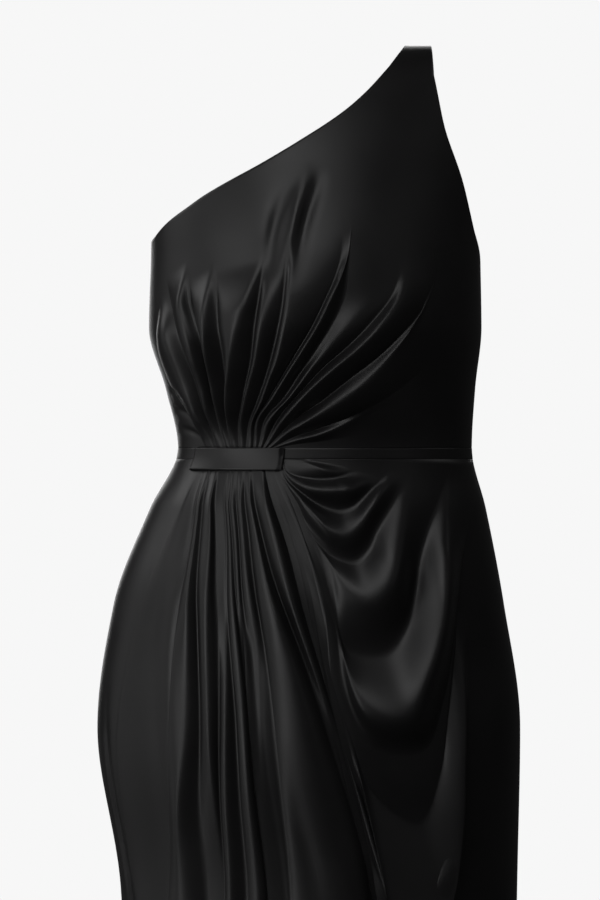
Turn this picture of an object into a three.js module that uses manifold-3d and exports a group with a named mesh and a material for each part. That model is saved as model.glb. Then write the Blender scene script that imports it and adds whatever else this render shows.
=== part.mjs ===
import * as THREE from "three";
import { mergeVertices } from "three/addons/utils/BufferGeometryUtils.js";
import ManifoldModule from "manifold-3d";

// One-shoulder evening gown on a general figure, in millimetres.
// +X is the wearer's left, -Y the front, +Z up.
// The origin lies under the middle of the strap, on top of the shoulder.

// Cloth. A fold's inside follows its outside by INNER_SHARE, and CREASE below 1 sharpens its foot.
const WALL = 1.8;
const SEAM_GAP = 0.3;
const HALF_GAP = SEAM_GAP / 2;
const INNER_SHARE = 0.9;
const CREASE = 0.7;
const FADE_LENGTH = 0.4;

// Panels: columns between two rows of a fold table, or more where the rows end further apart than
// END_SPAN, then rows along a fold, crowding of rows at the seam, distance over which a fold rises,
// and its share of the lift right at the seam
const END_SPAN = 110;
const BODICE_MESH = { between: 2, rows: 14, grading: 1.35, rise: 75, tuck: 0.25 };
const SKIRT_FRONT_MESH = { between: 2, rows: 22, grading: 1.6, rise: 70, tuck: 0.05 };
const SKIRT_BACK_MESH = { between: 2, rows: 22, grading: 1.5, rise: 700, tuck: 0.05 };
const STRAP_ROWS = 5;

// Heights, as drops below the top of the strap
const WAIST_TOP = 374;
const WAIST_LOW = 384;
const HEM = 1480;

// Keeper loop that gathers the pleats
const LOOP_TOP = 374.4;
const LOOP_LOW = 394;
const LOOP_FROM = -60;
const LOOP_TO = -16;
const LOOP_STAND = 2.4;
const LOOP_THICK = 1.6;
const LOOP_END_SHARE = 0.04;
const LOOP_LOW_END_STAND = 1.4;

// Concealed zip at the centre back
const ZIP_TOP = 102;
const ZIP_FOOT = 560;
const TAPE_WIDTH = 11;
const TAPE_THICK = 1;
const TAPE_GAP = 1.2;
const SLIDER_DROP = 108;
const SLIDER_WIDTH = 5.6;
const SLIDER_HEIGHT = 9;
const SLIDER_DEPTH = 2.2;
const BAIL_WIDTH = 1.6;
const BAIL_REACH = 1.6;
const BAIL_INNER = 1;
const BAIL_OUTER = 1.8;
const BAIL_ROOT = 0.5;
const PULL_BAR = 0.6;
const PULL_HALF = 2;
const PULL_LEG = 0.8;
const PULL_WINDOW = 2.5;
const PULL_LENGTH = 19;
const PULL_TIP = 3;
const PULL_THICK = 1.2;

// Rings of the gown: drop, left edge, right edge, depth before and behind the side seams
const RINGS = [
  { drop: 0, left: -248, right: 60, front: 0, back: 0 },
  { drop: 15, left: -248, right: 60, front: 46, back: 44 },
  { drop: 50, left: -248, right: 60, front: 70, back: 78 },
  { drop: 110, left: -248, right: 59, front: 92, back: 100 },
  { drop: 188, left: -248, right: 58, front: 112, back: 104 },
  { drop: 262, left: -250, right: 59, front: 120, back: 98 },
  { drop: 320, left: -234, right: 53, front: 108, back: 86 },
  { drop: 374, left: -223, right: 50, front: 96, back: 78 },
  { drop: 430, left: -249, right: 63, front: 102, back: 94 },
  { drop: 520, left: -283, right: 80, front: 112, back: 128 },
  { drop: 634, left: -298, right: 95, front: 116, back: 132 },
  { drop: 783, left: -276, right: 92, front: 110, back: 112 },
  { drop: 960, left: -268, right: 88, front: 112, back: 104 },
  { drop: 1150, left: -280, right: 100, front: 128, back: 118 },
  { drop: 1320, left: -300, right: 120, front: 150, back: 145 },
  { drop: 1480, left: -325, right: 142, front: 175, back: 175 },
];

// Folds of the front bodice, fanning up from the loop. start is the angle at the waist seam, and
// A, B and C are one third, two thirds and all of the way along. Angles are degrees round the
// figure from the centre front. lift is how far the cloth stands out, and flat is the share of
// the way at which the fold has died away.
const BODICE_COLUMNS = ["start", "angleA", "dropA", "angleB", "dropB", "angleC", "dropC", "lift", "flat"];
const BODICE_FOLDS = [
  [-59.5, -68, 374, -78, 374, -90, 374, 0, 1],
  [-55, -63, 345, -73, 318, -90, 284, 2.5, 0.8],
  [-50, -58, 322, -69, 276, -90, 232, 0.3, 1],
  [-48.8, -53.5, 315, -62, 258, -90, 188, 5, 0.8],
  [-47.2, -52, 307, -58, 240, -75, 178, 0.3, 1],
  [-42.3, -47, 304, -51, 233, -62, 166, 7, 0.85],
  [-40.6, -43.5, 300, -48, 228, -51, 155, 0.5, 1],
  [-39.1, -40.4, 297, -41, 220, -42, 144, 7, 0.8],
  [-38, -36, 292, -35, 211, -32, 132, 0.3, 1],
  [-37, -31, 287, -25, 203, -21, 118, 7, 0.8],
  [-35.7, -26.5, 281, -17, 194, -11, 103, 0.3, 1],
  [-34.3, -20.5, 279, -11, 187, -5, 93, 6.5, 0.8],
  [-32, -15.5, 275, -6, 178, 3, 79, 0.5, 1],
  [-30.2, -11.3, 270, -1, 168, 10, 65, 7.5, 0.95],
  [-28.4, -5.4, 269, 8, 160, 17, 48, 0.3, 1],
  [-26.7, 0, 263, 15.5, 149, 25.3, 24, 6, 0.75],
  [-25.4, 8, 272, 30, 160, 44.3, 32, 0.3, 1],
  [-24.2, 10, 284, 38, 193, 49.5, 79, 11, 0.8],
  [-22.9, 12, 304, 43, 224, 61, 128, 0.3, 1],
  [-21.7, 12.3, 317, 46, 250, 72, 172, 8, 0.85],
  [-20.4, 12.4, 332, 47, 280, 90, 215, 0.5, 1],
  [-18.8, 10, 349, 45, 315, 90, 282, 5, 0.85],
  [-17.6, 8.6, 357, 45, 335, 90, 325, 0.3, 1],
  [-16.4, 8.5, 374, 43, 374, 90, 374, 0, 1],
];
// Strap: the rows of the table it rises between, and its edges at the shoulder seam
const FRONT_STRAP = { from: 15, to: 16, angles: [32.3, 43.5] };

// Folds of the front skirt, falling from the loop and hanging in swags to the hip on its right.
// A to D are one quarter, half, three quarters and all of the way along.
const SKIRT_COLUMNS = [
  "start", "angleA", "dropA", "angleB", "dropB", "angleC", "dropC", "angleD", "dropD", "lift", "flat",
];
const SKIRT_FOLDS = [
  [-58.5, -66, 384, -74, 384, -82, 384, -90, 384, 0, 1],
  [-57, -62, 406, -70, 427, -80, 450, -90, 470, 2, 0.9],
  [-55, -52, 476, -60, 568, -72, 661, -90, 760, 0, 1],
  [-53.6, -46, 600, -56, 880, -72, 1160, -90, 1480, 1, 1.2],
  [-52.3, -42, 629, -50, 880, -56, 1150, -66, 1480, 5, 1.6],
  [-49.8, -36, 637, -43, 890, -44, 1150, -48, 1480, 0, 1.6],
  [-48, -31, 637, -35, 890, -35, 1147, -36, 1480, 7, 1.6],
  [-46.4, -27, 637, -29.5, 890, -30, 1145, -29, 1480, 1, 1.6],
  [-44.2, -24.5, 636, -26, 890, -25, 1144, -22, 1480, 6, 1.6],
  [-41, -21.5, 636, -22.3, 889, -20.5, 1143, -16, 1480, 1, 1.6],
  [-38.5, -19, 636, -18.7, 889, -16, 1143, -10, 1480, 7, 1.6],
  [-37.1, -17.4, 636, -16, 888, -12, 1142, -4, 1480, 1.5, 1.6],
  [-35.7, -15.5, 636, -12, 888, -6.5, 1141, 3, 1480, 7, 1.6],
  [-33.4, -10.5, 635, -5, 888, 1, 1141, 11, 1480, 0, 1.6],
  [-31.5, -5.5, 634, 1.5, 887, 8.5, 1141, 20, 1480, 8, 1.6],
  [-29.8, -0.6, 634, 12.5, 886, 22, 1141, 34, 1480, 0, 1.6],
  [-28, 8.5, 635, 30, 888, 43, 1149, 56, 1480, 8, 1.3],
  [-27.5, 11, 630, 37, 875, 60, 1140, 90, 1480, 3, 0.9],
  [-27.2, 12, 612, 39, 845, 66, 1000, 90, 1050, 2, 0.9],
  [-26.9, 11.5, 597, 35, 785, 62, 840, 90, 760, 0.5, 1],
  [-26.1, 10, 575, 29, 725, 52, 710, 90, 540, 9, 1],
  [-25.2, 7, 548, 24, 655, 45, 575, 90, 384, 2, 1],
  [-24, 3.5, 517, 19, 597, 38, 515, 56, 384, 12, 1],
  [-22.6, -2, 486, 15, 545, 31, 476, 39, 384, 1.5, 1],
  [-21.2, -6, 452, 11, 500, 25, 452, 27, 384, 11, 1],
  [-19.9, -8.5, 423, 5.4, 448, 16.5, 426, 18, 384, 1.5, 1],
  [-18.4, -9.8, 402, 0.5, 411, 9.5, 404, 10, 384, 6, 1],
  [-16.2, -14, 384, -11.5, 384, -9, 384, -6.5, 384, 0, 1],
];

// Soft folds of the back, from the side seam to the centre back on the wearer's left,
// and from the centre back to the side seam on the wearer's right
const BACK_LEFT_FOLDS = [
  [90, 90, 321, 90, 268, 90, 215, 0, 1],
  [106, 105, 310, 106, 246, 108, 173, 1.5, 0.6],
  [121, 120, 300, 121, 220, 122, 132, 0, 1],
  [134, 133, 285, 133, 190, 130, 88, 2, 0.6],
  [145, 143, 262, 140, 148, 135.5, 34, 0, 1],
  [158, 157, 262, 156, 146, 155, 26, 1.5, 0.6],
  [168, 168, 272, 167, 172, 166, 66, 0, 1],
  [180, 180, 282, 180, 190, 180, 98, 0, 1],
];
const BACK_STRAP = { from: 4, to: 5, angles: [136.5, 147.7] };
const BACK_RIGHT_FOLDS = [
  [-180, -180, 282, -180, 190, -180, 98, 0, 1],
  [-165, -165, 290, -164, 207, -163, 124, 1.5, 0.6],
  [-148, -148, 298, -147, 223, -146, 148, 0, 1],
  [-130, -130, 305, -129, 236, -128, 167, 2, 0.6],
  [-110, -110, 311, -109, 246, -108, 181, 0, 1],
  [-90, -90, 312, -90, 250, -90, 188, 0, 1],
];

// Soft folds of the skirt's back halves: degrees from the side seam and how far each stands out
const NEVER_FLAT = 1.6;
const SKIRT_BACK_FOLDS = [
  { turn: 0, lift: 0 },
  { turn: 13, lift: 5 },
  { turn: 25, lift: 0 },
  { turn: 36, lift: 7 },
  { turn: 47, lift: 1 },
  { turn: 58, lift: 6 },
  { turn: 68, lift: 0 },
  { turn: 79, lift: 5 },
  { turn: 90, lift: 0 },
];

// Smooth curve through a row of numbers that never overshoots them
function monotone(places, values) {
  const count = places.length;
  const steps = [];
  const rises = [];
  for (let i = 0; i < count - 1; i += 1) {
    steps.push(places[i + 1] - places[i]);
    rises.push((values[i + 1] - values[i]) / steps[i]);
  }
  const slopes = [rises[0]];
  for (let i = 1; i < count - 1; i += 1) {
    const before = rises[i - 1];
    const after = rises[i];
    if (before * after <= 0) {
      slopes.push(0);
    } else {
      const first = 2 * steps[i] + steps[i - 1];
      const second = steps[i] + 2 * steps[i - 1];
      slopes.push((first + second) / (first / before + second / after));
    }
  }
  slopes.push(rises[count - 2]);
  return (place) => {
    let i = 0;
    while (i < count - 2 && place > places[i + 1]) {
      i += 1;
    }
    const u = Math.min(Math.max((place - places[i]) / steps[i], 0), 1);
    const u2 = u * u;
    const u3 = u2 * u;
    return (
      (2 * u3 - 3 * u2 + 1) * values[i] +
      (u3 - 2 * u2 + u) * steps[i] * slopes[i] +
      (3 * u2 - 2 * u3) * values[i + 1] +
      (u3 - u2) * steps[i] * slopes[i + 1]
    );
  };
}

// Rounded curve through evenly spaced numbers, for the line of one fold
function rounded(values, share) {
  const last = values.length - 1;
  const place = Math.min(Math.max(share, 0), 1) * last;
  const i = Math.min(Math.floor(place), last - 1);
  const u = place - i;
  const b = values[i];
  const c = values[i + 1];
  const a = i > 0 ? values[i - 1] : 2 * b - c;
  const d = i + 2 <= last ? values[i + 2] : 2 * c - b;
  return b + 0.5 * u * (c - a + u * (2 * a - 5 * b + 4 * c - d + u * (3 * (b - c) + d - a)));
}

function ease(from, to, value) {
  const u = Math.min(Math.max((value - from) / (to - from), 0), 1);
  return u * u * (3 - 2 * u);
}

// The rings are read by the square root of the drop, so the cloth rounds over the shoulder
const reaches = RINGS.map((ring) => Math.sqrt(ring.drop));
const leftEdge = monotone(reaches, RINGS.map((ring) => ring.left));
const rightEdge = monotone(reaches, RINGS.map((ring) => ring.right));
const frontDepth = monotone(reaches, RINGS.map((ring) => ring.front));
const backDepth = monotone(reaches, RINGS.map((ring) => ring.back));

function figurePoint(angle, reach) {
  const turn = THREE.MathUtils.degToRad(angle);
  const middle = (leftEdge(reach) + rightEdge(reach)) / 2;
  const half = (rightEdge(reach) - leftEdge(reach)) / 2;
  const depth = Math.abs(angle) <= 90 ? frontDepth(reach) : backDepth(reach);
  return new THREE.Vector3(
    middle + half * Math.sin(turn),
    -depth * Math.cos(turn),
    WALL - reach * reach,
  );
}

function figureNormal(angle, reach) {
  const low = Math.max(reach - 0.02, 0);
  const down = figurePoint(angle, low + 0.04).sub(figurePoint(angle, low));
  const step = angle > 0 ? -0.1 : 0.1;
  const round = figurePoint(angle + step, reach).sub(figurePoint(angle, reach)).divideScalar(step);
  return down.cross(round).normalize();
}

// Place on the gown: stand is the distance out from its plain outer face
function clothPoint(angle, reach, stand) {
  return figurePoint(angle, reach).addScaledVector(figureNormal(angle, reach), stand);
}

// Closes a sheet of cells into a wall: each point has an outer and an inner place
function closeWall(outer, inner, cells) {
  const count = outer.length;
  const positions = [];
  for (const place of [...outer, ...inner]) {
    positions.push(place.x, place.y, place.z);
  }
  const index = [];
  const edges = new Map();
  for (const cell of cells) {
    const [a, b, c, d] = cell;
    const across = outer[a].distanceTo(outer[c]) > outer[b].distanceTo(outer[d]);
    const halves = across ? [[a, b, d], [b, c, d]] : [[a, b, c], [a, c, d]];
    for (const [p, q, r] of halves) {
      index.push(p, q, r, p + count, r + count, q + count);
    }
    for (let i = 0; i < 4; i += 1) {
      const from = cell[i];
      const to = cell[(i + 1) % 4];
      const key = from < to ? `${from} ${to}` : `${to} ${from}`;
      if (edges.has(key)) {
        edges.delete(key);
      } else {
        edges.set(key, [from, to]);
      }
    }
  }
  for (const [from, to] of edges.values()) {
    index.push(to, from, from + count, to, from + count, to + count);
  }
  const geometry = new THREE.BufferGeometry();
  geometry.setAttribute("position", new THREE.Float32BufferAttribute(positions, 3));
  geometry.setIndex(index);
  return outward(geometry);
}

function signedVolume(geometry) {
  const place = geometry.getAttribute("position");
  const index = geometry.getIndex();
  const a = new THREE.Vector3();
  const b = new THREE.Vector3();
  const c = new THREE.Vector3();
  let sum = 0;
  for (let i = 0; i < index.count; i += 3) {
    a.fromBufferAttribute(place, index.getX(i));
    b.fromBufferAttribute(place, index.getX(i + 1));
    c.fromBufferAttribute(place, index.getX(i + 2));
    sum += a.dot(b.cross(c)) / 6;
  }
  return sum;
}

function outward(geometry) {
  if (signedVolume(geometry) < 0) {
    const index = geometry.getIndex();
    for (let i = 0; i < index.count; i += 3) {
      const b = index.getX(i + 1);
      index.setX(i + 1, index.getX(i + 2));
      index.setX(i + 2, b);
    }
  }
  return geometry;
}

// Reads a table of rows into one smooth curve for each named column
function readFolds(columns, rows) {
  const knots = rows.map((row, i) => i);
  const curves = {};
  columns.forEach((name, k) => {
    curves[name] = monotone(knots, rows.map((row) => row[k]));
  });
  const lifts = rows.map((row) => row[columns.indexOf("lift")]);
  curves.lift = (place) => {
    const i = Math.min(Math.floor(place), lifts.length - 2);
    const a = lifts[i];
    const b = lifts[i + 1];
    const share = ease(0, 1, place - i);
    return b > a ? a + (b - a) * share ** CREASE : b + (a - b) * (1 - share) ** CREASE;
  };
  return { curves, last: rows.length - 1 };
}

// Sheet whose columns follow the folds of a table and whose rows run out from the seam
function foldedPanel(folds, seamDrop, mesh, shift, strap) {
  const { curves, last } = folds;
  const angleNames = Object.keys(curves).filter((name) => name.startsWith("angle"));
  const dropNames = Object.keys(curves).filter((name) => name.startsWith("drop"));
  const outer = [];
  const inner = [];
  const cells = [];
  const addPoint = (angle, reach, stand) => {
    outer.push(clothPoint(angle, reach, stand).add(shift));
    inner.push(clothPoint(angle, reach, stand * INNER_SHARE - WALL).add(shift));
    return outer.length - 1;
  };
  const addCells = (below, above) => {
    for (let i = 0; i < below.length - 1; i += 1) {
      cells.push([below[i], below[i + 1], above[i + 1], above[i]]);
    }
  };
  const endDrop = curves[dropNames[dropNames.length - 1]];
  const places = [];
  for (let row = 0; row < last; row += 1) {
    const apart = Math.abs(endDrop(row + 1) - endDrop(row));
    const between = Math.max(mesh.between, Math.ceil(apart / END_SPAN));
    for (let i = 0; i < between; i += 1) {
      places.push(row + i / between);
    }
  }
  places.push(last);
  const columns = [];
  for (const place of places) {
    const angles = [curves.start(place), ...angleNames.map((name) => curves[name](place))];
    const drops = [seamDrop, ...dropNames.map((name) => curves[name](place))];
    const flat = curves.flat(place);
    const points = [];
    let angle = angles[0];
    let reach = Math.sqrt(seamDrop);
    let travelled = 0;
    let previous = figurePoint(angle, reach);
    for (let j = 0; j <= mesh.rows; j += 1) {
      const share = (j / mesh.rows) ** mesh.grading;
      angle = rounded(angles, share);
      reach = Math.sqrt(rounded(drops, share));
      const here = figurePoint(angle, reach);
      travelled += here.distanceTo(previous);
      previous = here;
      const rising = mesh.tuck + (1 - mesh.tuck) * ease(0, mesh.rise, travelled);
      const fading = 1 - ease(flat - FADE_LENGTH, flat, share);
      points.push(addPoint(angle, reach, curves.lift(place) * rising * fading));
    }
    columns.push({ points, angle, reach });
  }
  for (let j = 0; j < mesh.rows; j += 1) {
    addCells(columns.map(({ points }) => points[j]), columns.map(({ points }) => points[j + 1]));
  }
  if (strap) {
    const edge = columns.slice(places.indexOf(strap.from), places.indexOf(strap.to) + 1);
    let below = edge.map(({ points }) => points[mesh.rows]);
    for (let j = 1; j <= STRAP_ROWS; j += 1) {
      const share = j / STRAP_ROWS;
      const turned = share * (2 - share);
      const above = edge.map(({ angle, reach }, i) => {
        const across = i / (edge.length - 1);
        const seamAngle = strap.angles[0] + (strap.angles[1] - strap.angles[0]) * across;
        return addPoint(angle + (seamAngle - angle) * turned, reach * (1 - share), 0);
      });
      addCells(below, above);
      below = above;
    }
  }
  return closeWall(outer, inner, cells);
}

// Strip of even thickness that lies on the gown between two drops
function strip(options) {
  const { from, to, top, low, across, down, stand, thick, shift } = options;
  const outer = [];
  const inner = [];
  const cells = [];
  for (let i = 0; i <= across; i += 1) {
    for (let j = 0; j <= down; j += 1) {
      const drop = top + ((low - top) * j) / down;
      const reach = Math.sqrt(drop);
      const angle = from(drop) + ((to(drop) - from(drop)) * i) / across;
      const height = stand(i / across, drop);
      outer.push(clothPoint(angle, reach, height + thick).add(shift));
      inner.push(clothPoint(angle, reach, height).add(shift));
    }
  }
  for (let i = 0; i < across; i += 1) {
    for (let j = 0; j < down; j += 1) {
      const a = i * (down + 1) + j;
      cells.push([a, a + 1, a + down + 2, a + down + 1]);
    }
  }
  return closeWall(outer, inner, cells);
}

const FRONT_SHIFT = new THREE.Vector3(0, -HALF_GAP, 0);
const BACK_LEFT_SHIFT = new THREE.Vector3(HALF_GAP, HALF_GAP, 0);
const BACK_RIGHT_SHIFT = new THREE.Vector3(-HALF_GAP, HALF_GAP, 0);

function bodicePanel(rows, shift, strap) {
  return foldedPanel(readFolds(BODICE_COLUMNS, rows), WAIST_TOP, BODICE_MESH, shift, strap);
}

function skirtFront() {
  return foldedPanel(readFolds(SKIRT_COLUMNS, SKIRT_FOLDS), WAIST_LOW, SKIRT_FRONT_MESH, FRONT_SHIFT);
}

// Half of the skirt's back, with folds that hang straight down: side is 1 on the wearer's left
function skirtBack(side, shift) {
  const step = (HEM - WAIST_LOW) / 4;
  const rows = SKIRT_BACK_FOLDS.map(({ turn, lift }) => {
    const angle = side * (90 + turn);
    const way = [1, 2, 3, 4].flatMap((k) => [angle, WAIST_LOW + step * k]);
    return [angle, ...way, lift, NEVER_FLAT];
  });
  return foldedPanel(readFolds(SKIRT_COLUMNS, rows), WAIST_LOW, SKIRT_BACK_MESH, shift);
}

function waistband(from, to, across, shift) {
  return strip({
    from: () => from,
    to: () => to,
    top: WAIST_TOP + SEAM_GAP,
    low: WAIST_LOW - SEAM_GAP,
    across,
    down: 1,
    stand: () => -WALL,
    thick: WALL,
    shift,
  });
}

function pleatLoop() {
  return strip({
    from: () => LOOP_FROM,
    to: () => LOOP_TO,
    top: LOOP_TOP,
    low: LOOP_LOW,
    across: 36,
    down: 5,
    stand: (share, drop) => {
      const lowEnd = share > 0.5 ? LOOP_LOW_END_STAND : SEAM_GAP;
      const atEnd = SEAM_GAP + (lowEnd - SEAM_GAP) * ease(WAIST_LOW - 4, WAIST_LOW, drop);
      return atEnd + (LOOP_STAND - atEnd) * ease(0, LOOP_END_SHARE, Math.min(share, 1 - share));
    },
    thick: LOOP_THICK,
    shift: FRONT_SHIFT,
  });
}

function zipTape(side) {
  const width = (drop) => {
    const reach = Math.sqrt(drop);
    const half = (rightEdge(reach) - leftEdge(reach)) / 2;
    return THREE.MathUtils.radToDeg(TAPE_WIDTH / half);
  };
  return strip({
    from: () => side * 180,
    to: (drop) => side * (180 - width(drop)),
    top: ZIP_TOP,
    low: ZIP_FOOT,
    across: 2,
    down: 40,
    stand: () => -WALL - TAPE_GAP - TAPE_THICK,
    thick: TAPE_THICK,
    shift: side > 0 ? BACK_LEFT_SHIFT : BACK_RIGHT_SHIFT,
  });
}

// The pull's axle: on the centre back line, standing off the gown by the slider and its bail
const sliderReach = Math.sqrt(SLIDER_DROP);
const sliderNormal = figureNormal(180, sliderReach);
const sliderTilt = Math.atan2(sliderNormal.z, sliderNormal.y);
const axle = figurePoint(180, sliderReach)
  .add(new THREE.Vector3(0, HALF_GAP, 0))
  .addScaledVector(sliderNormal, SEAM_GAP + SLIDER_DEPTH + BAIL_REACH);

const manifoldLibrary = await ManifoldModule();
manifoldLibrary.setup();
const { Manifold, Mesh: ManifoldMesh } = manifoldLibrary;

function toManifold(source) {
  const bare = source.clone();
  bare.deleteAttribute("normal");
  bare.deleteAttribute("uv");
  const merged = mergeVertices(bare, 1e-4);
  return new Manifold(
    new ManifoldMesh({
      numProp: 3,
      vertProperties: new Float32Array(merged.getAttribute("position").array),
      triVerts: new Uint32Array(merged.getIndex().array),
    }),
  );
}

function toGeometry(solid) {
  const mesh = solid.getMesh();
  const geometry = new THREE.BufferGeometry();
  geometry.setAttribute("position", new THREE.BufferAttribute(new Float32Array(mesh.vertProperties), 3));
  geometry.setIndex(new THREE.BufferAttribute(new Uint32Array(mesh.triVerts), 1));
  return geometry;
}

// Flat shape in the Y-Z plane, given thickness along X about the middle
function slab(shape, thickness) {
  const geometry = new THREE.ExtrudeGeometry(shape, {
    depth: thickness,
    bevelEnabled: false,
    curveSegments: 10,
  });
  geometry.translate(0, 0, -thickness / 2);
  geometry.applyMatrix4(new THREE.Matrix4().set(0, 0, 1, 0, 1, 0, 0, 0, 0, 1, 0, 0, 0, 0, 0, 1));
  return geometry;
}

function zipSlider() {
  const plate = new THREE.BoxGeometry(SLIDER_WIDTH, SLIDER_DEPTH, SLIDER_HEIGHT);
  plate.translate(0, -BAIL_REACH - SLIDER_DEPTH / 2, 0);
  const arch = new THREE.Shape();
  arch.moveTo(-BAIL_REACH - BAIL_ROOT, -BAIL_OUTER);
  arch.lineTo(0, -BAIL_OUTER);
  arch.absarc(0, 0, BAIL_OUTER, -Math.PI / 2, Math.PI / 2, false);
  arch.lineTo(-BAIL_REACH - BAIL_ROOT, BAIL_OUTER);
  arch.lineTo(-BAIL_REACH - BAIL_ROOT, BAIL_INNER);
  arch.lineTo(0, BAIL_INNER);
  arch.absarc(0, 0, BAIL_INNER, Math.PI / 2, -Math.PI / 2, true);
  arch.lineTo(-BAIL_REACH - BAIL_ROOT, -BAIL_INNER);
  arch.closePath();
  const solid = toManifold(plate).add(toManifold(slab(arch, BAIL_WIDTH)));
  const geometry = toGeometry(solid);
  geometry.rotateX(sliderTilt);
  geometry.translate(axle.x, axle.y, axle.z);
  return geometry;
}

function zipPull() {
  const bar = new THREE.CylinderGeometry(PULL_BAR, PULL_BAR, PULL_HALF * 2, 16);
  bar.rotateZ(Math.PI / 2);
  const tab = new THREE.Shape();
  tab.moveTo(-PULL_HALF, 0);
  tab.lineTo(-PULL_HALF, -PULL_WINDOW);
  tab.lineTo(-PULL_TIP, PULL_TIP - PULL_LENGTH);
  tab.absarc(0, PULL_TIP - PULL_LENGTH, PULL_TIP, Math.PI, Math.PI * 2, false);
  tab.lineTo(PULL_HALF, -PULL_WINDOW);
  tab.lineTo(PULL_HALF, 0);
  tab.lineTo(PULL_HALF - PULL_LEG, 0);
  tab.lineTo(PULL_HALF - PULL_LEG, -PULL_WINDOW);
  tab.lineTo(-PULL_HALF + PULL_LEG, -PULL_WINDOW);
  tab.lineTo(-PULL_HALF + PULL_LEG, 0);
  tab.closePath();
  const plate = new THREE.ExtrudeGeometry(tab, {
    depth: PULL_THICK,
    bevelEnabled: false,
    curveSegments: 10,
  });
  plate.translate(0, 0, -PULL_THICK / 2);
  plate.rotateX(Math.PI / 2);
  const solid = toManifold(bar).add(toManifold(plate));
  const geometry = toGeometry(solid);
  geometry.translate(axle.x, axle.y, axle.z);
  return geometry;
}

const SATIN_COLOUR = 0x111112;
const TAPE_COLOUR = 0x0c0c0d;
const METAL_COLOUR = 0x141415;
const gown = new THREE.Group();
gown.name = "evening_gown";

function addPiece(name, geometry, colour, roughness, metalness) {
  const material = new THREE.MeshStandardMaterial({ color: colour, roughness, metalness });
  material.name = name;
  const mesh = new THREE.Mesh(geometry, material);
  mesh.name = name;
  gown.add(mesh);
}

function addCloth(name, geometry) {
  addPiece(name, geometry, SATIN_COLOUR, 0.45, 0);
}

addCloth("bodice_front", bodicePanel(BODICE_FOLDS, FRONT_SHIFT, FRONT_STRAP));
addCloth("bodice_back_left", bodicePanel(BACK_LEFT_FOLDS, BACK_LEFT_SHIFT, BACK_STRAP));
addCloth("bodice_back_right", bodicePanel(BACK_RIGHT_FOLDS, BACK_RIGHT_SHIFT));
addCloth("waistband_front", waistband(-90, 90, 48, FRONT_SHIFT));
addCloth("waistband_back_left", waistband(90, 180, 20, BACK_LEFT_SHIFT));
addCloth("waistband_back_right", waistband(-180, -90, 20, BACK_RIGHT_SHIFT));
addCloth("pleat_loop", pleatLoop());
addCloth("skirt_front", skirtFront());
addCloth("skirt_back_left", skirtBack(1, BACK_LEFT_SHIFT));
addCloth("skirt_back_right", skirtBack(-1, BACK_RIGHT_SHIFT));
addPiece("zip_tape_left", zipTape(1), TAPE_COLOUR, 0.8, 0);
addPiece("zip_tape_right", zipTape(-1), TAPE_COLOUR, 0.8, 0);
addPiece("zip_slider", zipSlider(), METAL_COLOUR, 0.35, 0.8);
addPiece("zip_pull", zipPull(), METAL_COLOUR, 0.35, 0.8);

export default gown;
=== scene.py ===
"""Looks of the one-shoulder evening gown: fine cloth shells, sewing, zip, satin, light and camera.

Lengths are in millimetres on the gown's own figure, and become metres as each mesh is made.
+X is the gown's left as worn, -Y the front, +Z up, with the origin under the strap at the shoulder.
"""

import math

import bpy
import numpy as np
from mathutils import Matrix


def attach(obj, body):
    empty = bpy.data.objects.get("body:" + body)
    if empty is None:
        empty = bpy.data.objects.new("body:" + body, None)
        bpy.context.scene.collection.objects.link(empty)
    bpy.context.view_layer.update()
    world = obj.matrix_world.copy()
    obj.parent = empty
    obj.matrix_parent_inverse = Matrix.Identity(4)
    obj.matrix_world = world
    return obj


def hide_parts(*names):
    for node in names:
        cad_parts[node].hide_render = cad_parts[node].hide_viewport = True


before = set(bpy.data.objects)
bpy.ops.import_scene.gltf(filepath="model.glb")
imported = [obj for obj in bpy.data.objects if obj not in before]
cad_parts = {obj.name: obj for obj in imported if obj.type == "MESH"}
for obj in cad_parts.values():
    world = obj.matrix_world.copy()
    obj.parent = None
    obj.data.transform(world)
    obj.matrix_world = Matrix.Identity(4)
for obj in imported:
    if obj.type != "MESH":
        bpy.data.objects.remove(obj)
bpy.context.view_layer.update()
scene = bpy.context.scene

MM = 0.001
WALL = 1.8
CLOTH = 1.0
SEAM_GAP = 0.3
HALF_GAP = SEAM_GAP / 2
WAIST_TOP = 374
WAIST_LOW = 384
WAIST_MIDDLE = (WAIST_TOP + WAIST_LOW) / 2
HEM = 1480
# Camera: its place across, in front and below the strap, a pixel's size in the plane of the side
# seams, and the middle of the picture in pixels
VIEW_SIDE = -109.7
VIEW_BACK = 3600
VIEW_DROP = 373.9
PIXEL = 0.93
PICTURE_SIDE = 300
PICTURE_DROP = 450
# Rows of the picture where the lines of the folds leave the waistband
WAIST_ROWS = {WAIST_TOP: 448, WAIST_LOW: 462}

# Rings of the gown: drop, left edge, right edge, depth before and behind the side seams
RINGS = np.array([
    (0, -248, 60, 0, 0),
    (15, -248, 60, 46, 44),
    (50, -248, 60, 70, 78),
    (110, -248, 59, 92, 100),
    (188, -248, 58, 112, 104),
    (262, -250, 59, 120, 98),
    (320, -234, 53, 108, 86),
    (374, -223, 50, 96, 78),
    (430, -249, 63, 102, 94),
    (520, -283, 80, 112, 128),
    (634, -298, 95, 116, 132),
    (783, -276, 92, 110, 112),
    (960, -268, 88, 112, 104),
    (1150, -280, 100, 128, 118),
    (1320, -300, 120, 150, 145),
    (1480, -325, 142, 175, 175),
], float)

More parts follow.
